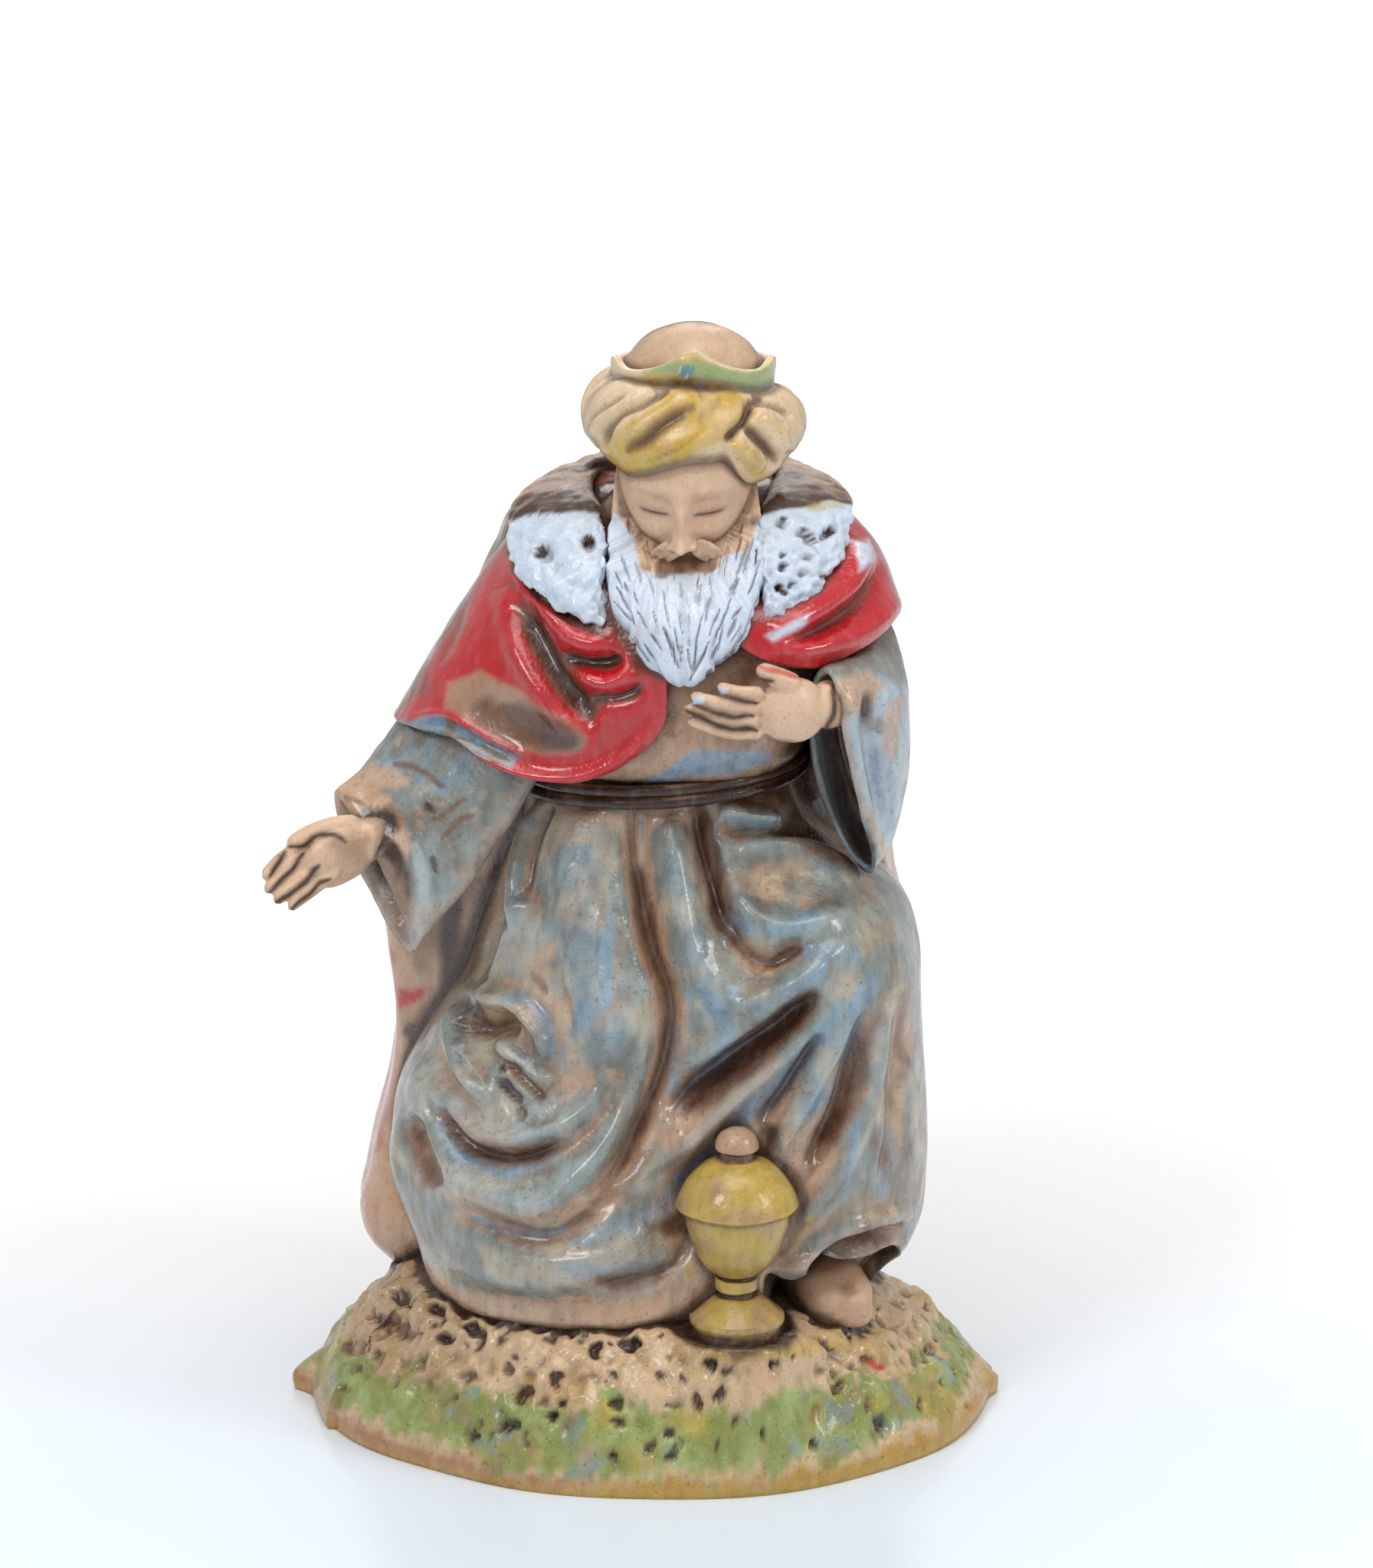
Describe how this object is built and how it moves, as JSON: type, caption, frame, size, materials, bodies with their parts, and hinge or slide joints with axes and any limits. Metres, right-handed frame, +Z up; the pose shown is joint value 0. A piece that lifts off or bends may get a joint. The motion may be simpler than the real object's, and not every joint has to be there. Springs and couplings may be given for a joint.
{
  "type": "nativity figurine",
  "caption": "Kneeling wise man of a nativity set, one hand held out, the other on the breast, on a mound with a lidded goblet.",
  "frame": {"origin": "on the flat underside of the mound, under the middle of the casting", "axes": "+Z up, -Y to the front that the figure faces, +X to the viewer's right when facing its front"},
  "size_m": [0.0482, 0.0364, 0.0738],
  "materials": {
    "toned_plastic": "bare cream plastic toned brown, painted by hand and varnished"
  },
  "bodies": {
    "root": {"wise_man_figurine": "toned_plastic"}
  },
  "joints": []
}
